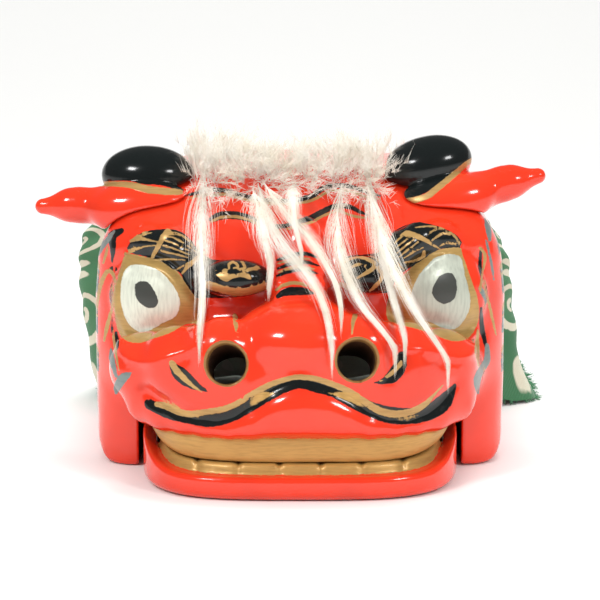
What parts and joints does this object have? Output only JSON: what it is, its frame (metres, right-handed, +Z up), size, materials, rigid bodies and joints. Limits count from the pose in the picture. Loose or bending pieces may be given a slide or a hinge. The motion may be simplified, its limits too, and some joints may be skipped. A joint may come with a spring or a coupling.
{
  "type": "lion dance head",
  "caption": "Hollow lacquered wooden lion head with a hinged lower jaw, two ears, white feathers and a green cloth cape, carried in a lion dance.",
  "frame": {"origin": "on the floor plane, on the underside of the lower jaw, on the head's middle plane", "axes": "+Z up, -Y out of the mouth, +X to the right as the face is looked at"},
  "size_m": [0.2963, 0.3529, 0.1903],
  "materials": {
    "red_lacquered_wood": "glossy red lacquer painted with black, gold and silver",
    "dark_wood": "bare dark dowel",
    "green_cotton": "plain-woven cotton printed with a cream vine scroll",
    "white_feather": "soft white feather"
  },
  "bodies": {
    "jaw": {"lower_jaw": "red_lacquered_wood"},
    "head": {"upper_head": "red_lacquered_wood", "ear_left": "red_lacquered_wood", "ear_right": "red_lacquered_wood", "jaw_peg_left": "dark_wood", "jaw_peg_right": "dark_wood", "cape_cloth": "green_cotton", "feather_down": "white_feather", "feather_1": "white_feather", "feather_2": "white_feather", "feather_3": "white_feather", "feather_4": "white_feather", "feather_5": "white_feather", "feather_6": "white_feather", "feather_7": "white_feather", "feather_8": "white_feather"}
  },
  "joints": [
    {"name": "jaw_hinge", "type": "hinge", "parent": "jaw", "child": "head", "pos_m": [0, 0.074, 0.02], "axis": [-1, 0, 0], "range_deg": [0, 25]}
  ]
}
